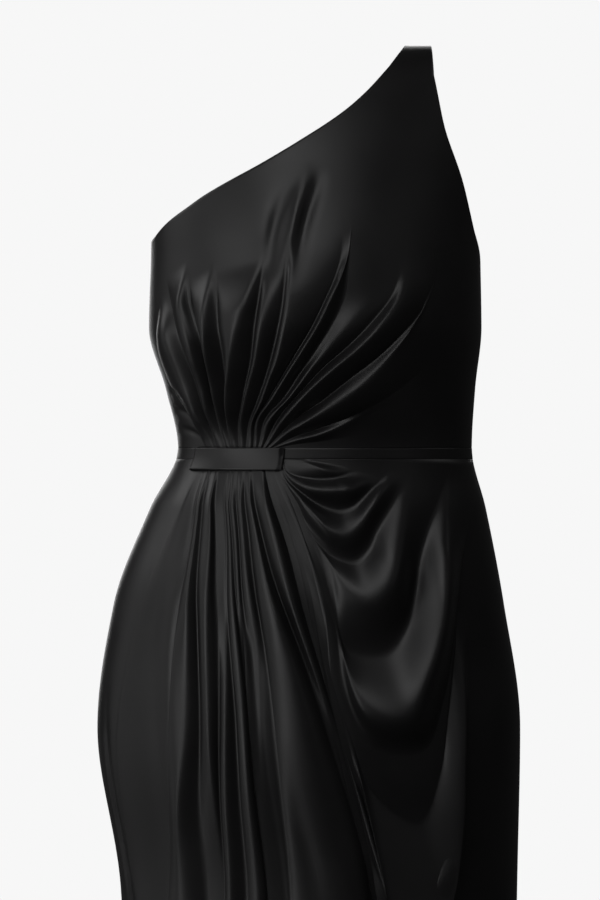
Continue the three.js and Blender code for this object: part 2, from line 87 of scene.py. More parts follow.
# Edge of the front bodice from the waist up its right side, along the neckline, over the strap and
# down its left side: angle and drop
BODICE_EDGE = np.array([
    (-90, 374), (-90, 284), (-90, 232), (-90, 188), (-75, 178), (-62, 166), (-51, 155), (-42, 144),
    (-32, 132), (-21, 118), (-11, 103), (-5, 93), (3, 79), (10, 65), (17, 48), (25.3, 24),
    (44.3, 32), (49.5, 79), (61, 128), (72, 172), (90, 215), (90, 282), (90, 325), (90, 374),
], float)

# Folds of the front bodice, as seen from the camera: how far the cloth stands out, how soon its left
# side is up (small is sharp), within how many millimetres of the seam it rises, over how many it
# dies away at its last point (0 is never), the knot of the edge that its line runs on to, its place
# across the picture at the waist, and its points from there outward. The two outer lines have
# their angle at the waist instead. Crests and valleys take turns.
BODICE_FOLDS = [
    (0, 0.5, 40, 0, 0, -59.5),
    (0.6, 0.4, 40, 60, 1.5, 206, (198, 432), (186, 408), (172, 385), (163, 360), (157, 335)),
    (8.5, 0.4, 40, 45, 2.6, 214, (211, 440), (203, 420), (195, 400), (184, 375), (172, 345), (165, 320),
     (161, 300)),
    (0.3, 0.4, 40, 60, 4.2, 217, (215, 440), (208, 420), (201, 400), (192, 370), (179, 335), (171, 300)),
    (10, 0.4, 40, 45, 5.6, 222, (219, 440), (211.5, 420), (209, 400), (203, 375), (193, 340), (188, 320),
     (184, 300), (183, 268)),
    (0.3, 0.4, 40, 60, 6, 226, (224.5, 440), (218, 420), (214, 400), (211, 378), (203, 345), (195, 315),
     (191, 300), (189, 268)),
    (10, 0.4, 40, 50, 7.3, 229, (227, 440), (221, 420), (218, 400), (216, 390), (211, 360), (208, 330),
     (207, 300), (208, 270)),
    (0.3, 0.4, 40, 60, 8, 232, (230.5, 440), (226, 420), (226, 400), (226, 380), (222, 345), (218, 310),
     (217, 270)),
    (10, 0.4, 40, 50, 9.1, 235, (233, 440), (230, 420), (230, 400), (231, 380), (236, 340), (246, 300),
     (254, 264)),
    (0.3, 0.4, 40, 60, 9.6, 239, (238, 440), (239, 420), (243, 400), (247, 380), (253, 345), (257, 310),
     (262, 275)),
    (8, 0.4, 40, 60, 10.1, 242, (241.5, 440), (243, 420), (247, 400), (252, 380), (259, 350), (264, 320),
     (269, 290), (271, 262)),
    (0.3, 0.4, 40, 60, 10.7, 246, (246, 440), (250, 420), (258, 400), (265, 380), (272, 355), (279, 325),
     (284, 295), (287, 262)),
    (8.5, 0.4, 40, 60, 11.3, 250, (250, 440), (253.5, 420), (263, 400), (272, 375), (282, 345), (289, 310),
     (292, 275), (298, 240)),
    (0.3, 0.4, 40, 60, 12.4, 253, (253, 440), (256, 420), (268, 400), (280, 380), (292, 360), (304, 340),
     (316, 320), (325, 300), (334, 280), (342, 258)),
    (10, 0.4, 40, 65, 12.9, 255.5, (256, 440), (259, 420), (272, 400), (284, 380), (296, 360), (309, 340),
     (321, 320), (330, 300), (339, 280), (347, 258), (350, 238)),
    (0.8, 0.4, 40, 50, 13.7, 258, (259, 440), (265, 420), (282, 400), (296, 380), (309, 360), (321, 342),
     (333, 322), (343, 300)),
    (5.5, 0.6, 40, 80, 14.5, 260.5, (262, 440), (270.5, 420), (288, 400), (300, 382), (314, 365),
     (330, 347), (346, 328), (361, 308), (377, 285)),
    (0.3, 0.5, 40, 50, 15, 262.5, (264.5, 440), (277, 420), (294, 400), (309, 382), (328, 363), (349, 345),
     (369, 325), (386, 302), (399, 278)),
    (11, 0.7, 40, 100, 15.5, 265, (268, 440), (283.5, 420), (298, 402), (314, 385), (334, 366), (357, 347),
     (378, 326), (397, 303), (409, 280), (415, 258)),
    (0.3, 0.5, 40, 60, 16, 267, (271.5, 440), (290, 424), (310, 410), (328, 396), (352, 377), (378, 357),
     (400, 336), (420, 312), (436, 280)),
    (9, 0.7, 40, 110, 18, 269.5, (276, 441), (300, 424), (338, 402), (366, 382), (388, 362), (407, 340),
     (424, 314)),
    (0.3, 0.5, 40, 70, 19.6, 271.5, (281, 442), (312, 431), (350, 417), (385, 399), (412, 379), (434, 355)),
    (5.4, 0.5, 40, 60, 21, 273.5, (286, 443), (314, 436), (345, 425), (380, 410)),
    (0.2, 0.5, 40, 60, 22.2, 276, (292, 445), (330, 440), (380, 431), (430, 419)),
    (0, 0.5, 40, 0, 23, -16.4),
]
# A strap: the two folds it runs between, and its angles at the shoulder seam
FRONT_STRAP = (17, 19, 32.3, 43.5)

# Edge of the front skirt: down its right side, along the hem, up its left side and along the waist
# seam to the loop
SKIRT_EDGE = np.array([
    (-90, WAIST_LOW), (-90, 470), (-90, 760),
    *[(turn, HEM) for turn in (-90, -66, -48, -36, -29, -22, -16, -10, -4, 3, 11, 20, 34, 56, 90)],
    (90, 1050), (90, 760), (90, 540),
    *[(turn, WAIST_LOW) for turn in (90, 56, 39, 27, 18, 10, -6.5)],
], float)

# Folds of the front skirt in the same way, from the loop downward
SKIRT_FOLDS = [
    (0, 0.4, 50, 0, 0, -58.5),
    (0.8, 0.4, 50, 60, 1.3, 200, (185, 500), (165, 540), (140, 580)),
    (0, 0.4, 50, 0, 2.7, 203.5, (196, 500), (183, 540), (166, 590), (150, 640), (134, 700), (122, 760)),
    (1.5, 1.6, 50, 0, 3.5, 206, (203, 500), (193, 540), (183, 590), (176, 640), (173, 700), (170, 780),
     (168, 900)),
    (6.9, 0.4, 50, 0, 4.4, 209, (208.5, 480), (205, 500), (201, 520), (197, 540), (192.5, 560),
     (189.5, 600), (189, 640), (189, 700), (187, 740), (184, 780), (181, 820), (182, 860), (184, 900)),
    (0, 0.4, 50, 0, 5, 211.5, (211, 480), (208, 500), (204.5, 520), (201, 540), (198, 570), (197, 600),
     (198, 640), (200, 700), (200, 740), (200, 780), (200, 820), (202, 860), (206, 900)),
    (7.4, 0.4, 50, 150, 5.6, 216.5, (216.5, 480), (214.5, 500), (212, 540), (211, 580), (210, 600),
     (209, 640), (208, 680), (210, 720), (213, 760), (216, 800), (219, 850)),
    (0.5, 0.4, 50, 150, 6.2, 219, (219, 480), (217.5, 500), (216, 540), (216.5, 580), (217, 600),
     (218, 640), (218, 680), (219, 720), (220, 760), (221, 800), (223, 850)),
    (6.3, 0.4, 230, 0, 6.9, 225, (225, 500), (225, 540), (225, 600), (226, 650), (227.5, 700), (228, 760),
     (229, 800), (230, 840), (232, 900)),
    (0.5, 0.4, 50, 0, 7.7, 227.2, (227.5, 500), (227.5, 560), (228, 600), (230, 650), (233, 700),
     (238, 760), (240, 800), (243, 840), (247, 900)),
    (6.3, 0.4, 50, 0, 8.5, 229, (229.5, 500), (230.5, 540), (232, 580), (234, 600), (237.5, 640),
     (240.5, 680), (244, 720), (248, 760), (251, 800), (255, 840), (258, 880), (260, 900)),
    (0.8, 0.4, 50, 0, 9.3, 230.8, (231.5, 500), (233, 540), (235.5, 580), (237.5, 600), (241, 640),
     (244, 680), (248, 720), (252, 760), (255.5, 800), (261, 840), (265, 880), (268, 900)),
    (6.3, 0.4, 50, 70, 9.9, 233, (233.5, 500), (235, 530), (238, 560), (241, 590), (244, 630)),
    (0.5, 0.4, 50, 0, 10.5, 237.5, (238, 500), (239.5, 540), (242.5, 580), (246, 620), (250, 680),
     (257, 740), (262, 800), (267, 860)),
    (7.4, 0.4, 50, 90, 11.1, 241.5, (241.5, 500), (244, 540), (249, 580), (254, 610), (259, 650)),
    (0.5, 0.4, 50, 0, 11.7, 244.5, (245.5, 500), (249.5, 540), (255, 580), (261, 620), (267, 670),
     (275, 740), (282, 800), (288, 860)),
    (11, 0.6, 50, 0, 13.6, 247.5, (248.5, 480), (250.5, 500), (255, 530), (263, 560), (271, 590),
     (279, 622), (288, 660), (297, 700), (306, 740), (315, 780), (324, 820), (338, 860), (350, 900)),
    (0.5, 0.4, 50, 0, 14.6, 250.5, (252, 480), (254.5, 500), (260, 530), (269, 560), (279, 590),
     (290, 622), (303, 660), (317, 700), (330, 740), (344, 780), (354, 820), (364, 860), (373, 900)),
    (14, 0.8, 50, 90, 15.3, 259.5, (261, 480), (266, 500), (276, 540), (282, 560), (290, 590), (301, 622),
     (308, 657), (321, 692), (334, 732)),
    (0.2, 0.4, 50, 90, 16, 262, (266, 480), (274, 500), (283, 535), (292, 560), (300, 588), (309, 617),
     (315, 657), (329, 702), (344, 755)),
    (0.5, 0.4, 50, 100, 17, 263.5, (269, 480), (279, 502), (289.5, 537), (299.5, 562), (307, 592),
     (315, 624), (319, 664), (332, 722), (348, 786), (362, 850), (380, 950), (400, 1060), (430, 1160)),
    (0, 0.4, 50, 0, 18.4, 264.8, (271, 480), (281.5, 502), (292.5, 538), (303, 563), (310.5, 592),
     (318, 624), (322, 663), (336, 720), (354, 784), (367, 845), (383, 940), (408, 1060), (455, 1130)),
    (16, 0.8, 420, 230, 19.5, 266, (273, 480), (284, 502), (295.5, 538), (306.5, 563), (313.5, 592),
     (321, 623), (325, 662), (339, 718), (360, 780), (374, 840), (387, 900), (404, 938), (426, 938),
     (443, 900), (453, 850), (459, 790), (462, 730), (465, 670), (468, 620)),
    (0, 1, 50, 0, 20, 267.3, (275, 481), (286.5, 502), (298.5, 538), (310, 563), (316.5, 591), (324, 621),
     (328, 661), (343, 714), (364, 768), (383, 812), (404, 826), (424, 820), (436, 795), (444, 750),
     (450, 700), (455, 655), (460, 605)),
    (0.5, 0.4, 50, 60, 20.8, 268.6, (277, 481), (289, 502), (301.5, 538), (313, 563), (319.5, 590),
     (327, 619), (332, 660), (348, 708), (374, 748), (402, 764), (426, 748), (442, 706), (451, 660),
     (458, 600), (467, 530)),
    (22, 1, 285, 130, 21.8, 270, (279, 481), (291.5, 502), (304.5, 538), (316, 562), (323, 588),
     (330, 616), (338, 652), (351, 690), (370, 717), (391, 726), (408, 704), (423, 670), (431, 640),
     (436, 605), (439, 575), (442, 540), (446, 512), (451, 486)),
    (0, 1, 50, 60, 22, 271.4, (281, 480), (294, 502), (307.5, 536), (319.5, 560), (327, 586), (334, 612),
     (342, 640), (353, 655), (366, 660), (380, 657), (395, 646), (405, 632), (412, 612), (416, 590),
     (419, 565), (425, 540), (434, 512), (443, 486)),
    (18, 1, 190, 110, 23.1, 272.8, (283, 480), (296.5, 502), (310, 534), (321, 554), (331, 571),
     (341, 588), (351, 601), (364, 604), (380, 594), (391, 574), (398, 548), (402, 527), (407, 507),
     (415, 484)),
    (0, 1, 50, 60, 23.45, 274.2, (283, 480), (297, 502), (309, 530), (321, 545), (333, 556), (346, 562),
     (357, 562), (367, 553), (374, 536), (384, 519), (394, 500), (406, 482)),
    (10, 1, 80, 40, 23.7, 275.6, (285, 480), (300, 500), (312, 515), (324, 527), (337, 536), (348, 536),
     (359, 525), (370, 508), (383, 490), (396, 476)),
    (0, 0.4, 50, 30, 24, 277, (287, 479), (302, 493), (316, 503), (330, 509), (343, 511), (356, 505),
     (368, 493), (384, 477)),
    (9, 1, 50, 30, 24.5, 278.3, (289, 477), (303, 487), (320, 492), (340, 492), (355, 487), (371, 476)),
    (0, 0.4, 50, 30, 25.4, 279.5, (289, 472), (302, 477), (320, 479), (338, 477), (354, 470)),
    (4.1, 0.4, 50, 20, 26.1, 280.6, (290, 467), (306, 470), (323, 470), (340, 466)),
    (0, 0.4, 50, 0, 27, -16.2),
]

# Folds of the back bodice: the angle at the waist, three pairs of angle and drop upward, how far
# the cloth stands out, and the share of the way up at which it no longer does
BACK_LEFT_FOLDS = [
    (90, 90, 321, 90, 268, 90, 215, 0, 1),
    (106, 105, 310, 106, 246, 108, 173, 1.5, 0.6),
    (121, 120, 300, 121, 220, 122, 132, 0, 1),
    (134, 133, 285, 133, 190, 130, 88, 2, 0.6),
    (145, 143, 262, 140, 148, 135.5, 34, 0, 1),
    (158, 157, 262, 156, 146, 155, 26, 1.5, 0.6),
    (168, 168, 272, 167, 172, 166, 66, 0, 1),
    (180, 180, 282, 180, 190, 180, 98, 0, 1),
]
BACK_STRAP = (4, 5, 136.5, 147.7)
BACK_RIGHT_FOLDS = [
    (-180, -180, 282, -180, 190, -180, 98, 0, 1),
    (-165, -165, 290, -164, 207, -163, 124, 1.5, 0.6),
    (-148, -148, 298, -147, 223, -146, 148, 0, 1),
    (-130, -130, 305, -129, 236, -128, 167, 2, 0.6),
    (-110, -110, 311, -109, 246, -108, 181, 0, 1),
    (-90, -90, 312, -90, 250, -90, 188, 0, 1),
]
# Folds of the back skirt: degrees round from the side seam, and how far the cloth stands out
SKIRT_BACK_TURNS = [(0, 0), (13, 5), (25, 0), (36, 7), (47, 1), (58, 6), (68, 0), (79, 5), (90, 0)]

# How a panel is laid out: rows, crowding of rows at the seam, distance over which a fold rises,
# its share of the lift at the seam, and the widest cell
BODICE_LAY = dict(rows=138, grading=1.35, tuck=0.35, cell=2.6)
BACK_LAY = dict(rows=90, grading=1.35, rise=75, tuck=0.25, cell=3.5)
SKIRT_LAY = dict(rows=114, grading=1.5, tuck=0.12, cell=5)
SKIRT_BACK_LAY = dict(rows=114, grading=1.5, rise=700, tuck=0.05, cell=4)
# Knots along a traced line, the most that a fold may stand out for its width and a little more for
# its narrower side, and the share of a line past its last point that a fold still reaches. A fold
# that rises beyond NEAR_RISE is flatter at the seam, and rises in the last LATE_RISE. CREASE below 1
# makes a fold's foot sharper.
KNOTS = 14
STEEPEST = 0.8
NARROW_EXTRA = 0.1
PAST_TRACE = 0.02
NEAR_RISE = 50
LATE_RISE = 100
CREASE = 0.7
# Share of the way over which a fold of the back dies away
BACK_FADE = 0.4
# Dip of the cloth at a seam and how far it reaches, where strokes start past a seam, and how far a
# panel's and a flat strip's turned edge stands out
SEAM_DIP = 0.35
SEAM_DIP_REACH = 1.6
STROKE_START = 6
PANEL_LIP = 0.12
STRIP_LIP = 0.1


def monotone(places, values):
    """Smooth curve through rows of numbers that never overshoots them."""
    places, values = np.asarray(places, float), np.asarray(values, float)
    steps = np.diff(places)
    rises = np.diff(values, axis=0) / steps[:, None]
    slopes = np.zeros_like(values)
    slopes[0], slopes[-1] = rises[0], rises[-1]
    for i in range(1, len(places) - 1):
        before, after = rises[i - 1], rises[i]
        first, second = 2 * steps[i] + steps[i - 1], steps[i] + 2 * steps[i - 1]
        same = before * after > 0
        slopes[i, same] = (first + second) / (first / before[same] + second / after[same])

    def curve(place):
        place = np.asarray(place, float)
        i = np.clip(np.searchsorted(places, place, side="right") - 1, 0, len(steps) - 1)
        u = np.clip((place - places[i]) / steps[i], 0, 1)[..., None]
        step = steps[i][..., None]
        u2, u3 = u * u, u**3
        return ((2 * u3 - 3 * u2 + 1) * values[i] + (u3 - 2 * u2 + u) * step * slopes[i]
                + (3 * u2 - 2 * u3) * values[i + 1] + (u3 - u2) * step * slopes[i + 1])

    return curve


def rounded(values, share):
    """Rounded curve through evenly spaced numbers, for the lines of many folds at once."""
    last = values.shape[-1] - 1
    place = np.clip(share, 0, 1) * last
    i = np.minimum(np.floor(place).astype(int), last - 1)
    u = place - i
    b, c = values[..., i], values[..., i + 1]
    a = np.where(i > 0, values[..., np.maximum(i - 1, 0)], 2 * b - c)
    d = np.where(i + 2 <= last, values[..., np.minimum(i + 2, last)], 2 * c - b)
    return b + 0.5 * u * (c - a + u * (2 * a - 5 * b + 4 * c - d + u * (3 * (b - c) + d - a)))


def ease(start, end, value):
    """Smooth step from 0 at the start to 1 at the end."""
    u = np.clip((value - start) / (end - start), 0, 1)
    return u * u * (3 - 2 * u)


ring_at = monotone(np.sqrt(RINGS[:, 0]), RINGS[:, 1:])


def section(angle, reach):
    """Middle, half width and depth of the gown, where reach is the square root of the drop."""
    ring = ring_at(reach)
    depth = np.where(np.abs(angle) <= 90, ring[..., 2], ring[..., 3])
    return (ring[..., 0] + ring[..., 1]) / 2, (ring[..., 1] - ring[..., 0]) / 2, depth


def figure_point(angle, reach):
    """Place on the gown's figure, at an angle from the centre front."""
    middle, half, depth = section(angle, reach)
    turn = np.radians(angle)
    return np.stack([middle + half * np.sin(turn), -depth * np.cos(turn), WALL - reach * reach], -1)


def figure_normal(angle, reach):
    """Way out of the gown at a place, from two short steps down and across."""
    step_down, step_across = 0.04, 0.1
    low = np.maximum(reach - step_down / 2, 0)
    down = figure_point(angle, low + step_down) - figure_point(angle, low)
    step = np.where(angle > 0, -step_across, step_across)
    across = (figure_point(angle + step, reach) - figure_point(angle, reach)) / step[..., None]
    normal = np.cross(down, across)
    return normal / np.linalg.norm(normal, axis=-1, keepdims=True)


def arc(angle, reach):
    """Distance round the gown from the centre front, near enough for strokes."""
    _, half, depth = section(angle, reach)
    return np.radians(angle) * (half + depth) / 2


def seen(x, y):
    """Angle and drop of the place on the gown that shows at a point of the picture."""
    depth, rounds = -90.0, 8
    for _ in range(rounds):
        near = (VIEW_BACK + depth) / VIEW_BACK * PIXEL
        side = VIEW_SIDE + (x - PICTURE_SIDE) * near
        drop = max(VIEW_DROP + WALL + (y - PICTURE_DROP) * near, 1)
        left, right, front, _ = ring_at(math.sqrt(drop))
        turn = math.asin(min(max((side - (left + right) / 2) / ((right - left) / 2), -0.999), 0.999))
        depth = -front * math.cos(turn)
    return math.degrees(turn), drop


def edge_curve(knots, corners):
    """Curve through the knots of an edge that turns sharply at its corners."""
    bounds = [0, *corners, len(knots) - 1]
    parts = [monotone(np.arange(a, b + 1), knots[a:b + 1]) for a, b in zip(bounds[:-1], bounds[1:])]

    def curve(place):
        part = np.searchsorted(corners, place, side="right") if corners else 0 * place.astype(int)
        return np.stack([parts[k](p) for k, p in zip(part, place)])

    return curve


def path_lengths(points):
    """Distance travelled along each line at each of its points."""
    step = np.linalg.norm(np.diff(points, axis=1), axis=-1)
    return np.concatenate([np.zeros((len(points), 1)), np.cumsum(step, 1)], 1)


def columns(width, cell, fewest, most):
    """How many columns fill the space from each fold to the next, and their places between them."""
    counts = np.clip(np.round(width / cell), fewest, most).astype(int)
    place = np.concatenate([k + np.arange(n) / n for k, n in enumerate(counts)] + [[len(counts)]])
    return counts, place, np.minimum(np.floor(place).astype(int), len(counts) - 1)


def traced_lines(folds, edge, seam_drop):
    """Knots of each fold's line, evenly spaced along it, and the share of it that was traced."""
    lines, traced = [], []
    for _, _, _, _, stop, start, *points in folds:
        finish = edge(np.array([float(stop)]))[0]
        if not points:
            path = np.array([(start, seam_drop), finish])
        else:
            path = np.array([seen(*point) for point in [(start, WAIST_ROWS[seam_drop]), *points]])
            path[0, 1] = seam_drop
            limit = np.minimum if seam_drop == WAIST_TOP else np.maximum
            path[:, 1] = limit(path[:, 1], seam_drop)
            path = np.concatenate([path, finish[None]])
        flat = np.stack([arc(path[:, 0], np.sqrt(path[:, 1])), path[:, 1]], -1)
        length = path_lengths(flat[None])[0]
        share = np.linspace(0, length[-1], KNOTS)
        lines.append(monotone(length, path)(share))
        traced.append(length[-2] / length[-1] if len(path) > 2 else 1)
    return np.array(lines), np.array(traced)


def traced_grid(folds, edge, seam_drop, rows, grading, tuck, cell, strap=None):
    """Angle, reach and stand of a panel's columns and rows, from lines traced in the picture."""
    knots, traced = traced_lines(folds, edge, seam_drop)
    lift, full, rise, fade, stop = np.array([row[:5] for row in folds], float).T
    rise = np.maximum(rise, 1)
    late = np.maximum(rise - LATE_RISE, 0)[:, None]
    tuck = tuck * np.minimum(NEAR_RISE / rise, 1)[:, None] ** 2
    share = (np.arange(rows + 1) / rows) ** grading
    count = np.arange(len(folds))
    knots_at = monotone(count, knots.reshape(len(folds), -1))
    stop_at = monotone(count, stop[:, None])

    def lines(place):
        k = knots_at(place).reshape(len(place), KNOTS, 2)
        k[:, -1] = edge(stop_at(place)[:, 0])
        return rounded(k[..., 0], share), np.sqrt(np.maximum(rounded(k[..., 1], share), 0))

    angle, reach = lines(count)
    points = figure_point(angle, reach)
    apart = np.linalg.norm(np.diff(points, axis=0), axis=-1)
    travelled = path_lengths(points)
    narrow = np.concatenate([apart[:1], np.minimum(apart[:-1], apart[1:]), apart[-1:]])
    wide = np.concatenate([apart[:1], apart[:-1] + apart[1:], apart[-1:]])
    tall = STEEPEST * wide / 2 + NARROW_EXTRA * narrow
    length = travelled[:, -1:]
    gone = length * np.minimum(traced[:, None] + PAST_TRACE, 1)
    dying = ease(0, 1, (gone - travelled) / np.maximum(fade[:, None], 1))
    height = np.minimum(lift[:, None], tall) * (
        tuck + (1 - tuck) * ease(0, 1, (travelled - late) / (rise[:, None] - late)))
    height = np.where(fade[:, None] > 0, height * dying, height)
    counts, place, i = columns(apart.max(1), cell, fewest=5, most=30)
    angle, reach = lines(place)
    s = ease(0, 1, place - i)[:, None]
    a, b = height[i], height[i + 1]
    sharp = full[i + 1][:, None]
    stand = np.where(b > a, a + (b - a) * s**sharp, b + (a - b) * (1 - s) ** CREASE)
    travelled = path_lengths(figure_point(angle, reach))
    return with_strap(angle, reach, stand, travelled, counts, strap)


def with_strap(angle, reach, stand, travelled, counts, strap):
    """Adds the columns that run on over the shoulder."""
    grid = dict(angle=angle, reach=reach, stand=stand, travelled=travelled, strap=None)
    if strap:
        first, last = [int(counts[:k].sum()) for k in strap[:2]]
        edge = slice(first, last + 1)
        across = np.linspace(0, 1, last - first + 1)[:, None]
        seam = strap[2] + (strap[3] - strap[2]) * across
        rows = 30
        up = np.linspace(0, 1, rows + 1)[None, 1:]
        grid["strap"] = dict(
            first=first,
            last=last,
            angle=angle[edge, -1:] + (seam - angle[edge, -1:]) * up * (2 - up),
            reach=reach[edge, -1:] * (1 - up),
        )
    return grid


def panel_grid(folds, seam_drop, rows, grading, rise, tuck, cell, strap=None):
    """Angle, reach and stand of a panel's columns and rows, and its strap's."""
    folds = np.array(folds, float)
    wide = folds.shape[1]
    fold_at = monotone(np.arange(len(folds)), folds)
    share = (np.arange(rows + 1) / rows) ** grading

    def lines(place):
        f = fold_at(place)
        angles = f[:, [0] + list(range(1, wide - 2, 2))]
        drops = np.concatenate([np.full((len(place), 1), seam_drop), f[:, 2:wide - 2:2]], 1)
        angle = rounded(angles, share)
        return f, angle, np.sqrt(np.maximum(rounded(drops, share), 0))

    _, angle, reach = lines(np.arange(len(folds)))
    width = np.linalg.norm(np.diff(figure_point(angle, reach), axis=0), axis=-1).max(1)
    counts, place, i = columns(width, cell, fewest=6, most=26)
    f, angle, reach = lines(place)
    travelled = path_lengths(figure_point(angle, reach))
    s = ease(0, 1, place - i)
    a, b = folds[i, -2], folds[i + 1, -2]
    lift = np.where(b > a, a + (b - a) * s**CREASE, b + (a - b) * (1 - s) ** CREASE)
    fading = 1 - ease(f[:, -1:] - BACK_FADE, f[:, -1:], share[None])
    stand = lift[:, None] * (tuck + (1 - tuck) * ease(0, rise, travelled)) * fading
    return with_strap(angle, reach, stand, travelled, counts, strap)


# Soft troughs and ridges laid over the folds of the front: height, half width in millimetres, and
# points in the picture
STROKES = [
    (4, 6.5, (312, 160), (306, 180), (298, 212), (289, 248), (280, 282), (271, 318)),
    (-3.6, 5.5, (323, 165), (315, 188), (305, 217), (299, 247), (296, 295)),
    (-3, 6, (291, 175), (282, 200), (274, 228), (270, 258), (270, 300)),
    (-2.5, 3, (310, 358), (300, 371), (292, 382), (280, 402)),
    (-2.5, 3, (322, 400), (306, 410), (290, 425)),
    (-1.6, 3, (164, 383), (178, 392), (194, 407)),
    (-1.8, 3, (170, 406), (184, 412), (202, 426)),
    (-1.6, 3, (172, 427), (190, 431), (208, 443)),
    (-3, 5, (103, 640), (104, 700), (107, 750), (113, 800), (121, 840), (130, 890), (140, 950),
     (150, 1020)),
    (2.5, 9, (186, 520), (176, 580), (171, 650), (172, 720), (175, 800), (178, 880)),
    (-2.5, 3, (241, 570), (247, 620), (251, 650), (254, 690), (258, 750), (264, 820)),
    (-2.5, 7, (282, 730), (292, 780), (300, 820), (308, 850), (316, 890), (330, 960), (344, 1040)),
    (4, 7, (288, 510), (300, 545), (313, 575), (325, 605), (335, 640), (346, 675), (356, 710)),
]


def relief(angle, reach):
    """Sum of the strokes at each place: a ridge has a positive height, a trough a negative one."""
    here = np.stack([arc(angle, reach), reach * reach], -1)
    total = np.zeros(angle.shape)
    for height, width, *points in STROKES:
        points = np.array([seen(*point) for point in points])
        line = np.stack([arc(points[:, 0], np.sqrt(points[:, 1])), points[:, 1]], -1)
        fine = rounded(line.T, np.linspace(0, 1, 8 * len(line))).T
        low, high = fine.min(0) - 3 * width, fine.max(0) + 3 * width
        near = ((here > low) & (here < high)).all(-1)
        if not near.any():
            continue
        p = here[near]
        a, b = fine[:-1], fine[1:]
        run = b - a
        t = np.clip(((p[:, None] - a) * run).sum(-1) / (run * run).sum(-1), 0, 1)
        gap = np.linalg.norm(p[:, None] - a - run * t[..., None], axis=-1)
        k = gap.argmin(1)
        rows = np.arange(len(p))
        along = (k + t[rows, k]) / len(a)
        fade = ease(0, 0.5, along) * ease(0, 0.5, 1 - along)
        total[near] += height * fade * np.exp(-((gap[rows, k] / width) ** 2))
    return total


def placed(name, data):
    """Object in the scene that holds a mesh, a light or the camera."""
    obj = bpy.data.objects.new(name, data)
    scene.collection.objects.link(obj)
    return obj


def make_mesh(name, points, faces, material_index, uv, materials):
    """Smooth mesh object from points in millimetres, riding on the dress."""
    mesh = bpy.data.meshes.new(name)
    mesh.from_pydata((points * MM).tolist(), [], faces)
    mesh.polygons.foreach_set("use_smooth", [True] * len(mesh.polygons))
    mesh.polygons.foreach_set("material_index", material_index)
    layer = mesh.uv_layers.new(name="UVMap")
    index = np.zeros(len(mesh.loops), np.int32)
    mesh.loops.foreach_get("vertex_index", index)
    layer.data.foreach_set("uv", (uv[index] * MM).ravel())
    mesh.validate()
    obj = placed(name, mesh)
    for material in materials:
        mesh.materials.append(material)
    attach(obj, "dress")
    return obj


def grid_cells(ids):
    """Four corners of each cell of a table of point numbers."""
    return np.stack([ids[:-1, :-1], ids[:-1, 1:], ids[1:, 1:], ids[1:, :-1]], -1).reshape(-1, 4)


# Turns of the points round a rolled edge, from the outer face to the inner one
ROLL = (45, 0, -45)


def shell(name, outer, inner, cells, uv, materials, lip):
    """Closed cloth wall with a rolled edge that stands out past the cells by its lip."""
    centre = (outer + inner) / 2
    a, b, c = outer[cells[:, 0]], outer[cells[:, 1]], outer[cells[:, 2]]
    facing = (np.cross(b - a, c - a) * (outer - inner)[cells[:, 0]]).sum(-1)
    if np.median(facing) < 0:
        cells = cells[:, ::-1]
    start = cells.ravel()
    end = np.roll(cells, -1, axis=1).ravel()
    count = len(outer)
    key, reverse = start * count + end, end * count + start
    rim = ~np.isin(key, reverse)
    start, end = start[rim], end[rim]
    following = dict(zip(start.tolist(), end.tolist()))
    before = dict(zip(end.tolist(), start.tolist()))
    edge = np.array(sorted(following))
    tangent = centre[[following[k] for k in edge]] - centre[[before[k] for k in edge]]
    across = outer[edge] - inner[edge]
    out = np.cross(tangent, across)
    out /= np.maximum(np.linalg.norm(out, axis=-1, keepdims=True), 1e-9)
    layers = []
    for turn in ROLL:
        t = math.radians(turn)
        layers.append(centre[edge] + across / 2 * math.sin(t) + out * lip * math.cos(t))
    points = np.concatenate([outer, inner, *layers])
    chain = {k: [k, *[2 * count + s * len(edge) + i for s in range(len(ROLL))], k + count]
             for i, k in enumerate(edge.tolist())}
    faces = cells.tolist()
    index = [0] * len(faces)
    faces += (cells[:, ::-1] + count).tolist()
    index += [1] * len(cells)
    for p, q in zip(start.tolist(), end.tolist()):
        for face in zip(chain[q], chain[p], chain[p][1:], chain[q][1:]):
            faces.append(list(face))
            index.append(0)
    uv = np.concatenate([uv, uv, *[uv[edge]] * len(ROLL)])
    return make_mesh(name, points, faces, index, uv, materials)


# How the front and the two halves of the back move apart, to leave the seams' gaps between them
SHIFTS = {"front": (0, -HALF_GAP, 0), "left": (HALF_GAP, HALF_GAP, 0), "right": (-HALF_GAP, HALF_GAP, 0)}
SIDES = {"left": 1, "right": -1}


def cloth_points(angle, reach, outside, inside, shift):
    """Outer and inner points of cloth that stands out from the figure, and its own lengths there."""
    normal = figure_normal(angle, reach)
    base = figure_point(angle, reach) + np.array(SHIFTS[shift])
    outer, inner = [(base + normal * stand[..., None]).reshape(-1, 3) for stand in (outside, inside)]
    return outer, inner, np.stack([arc(angle, reach), -(reach * reach)], -1).reshape(-1, 2)


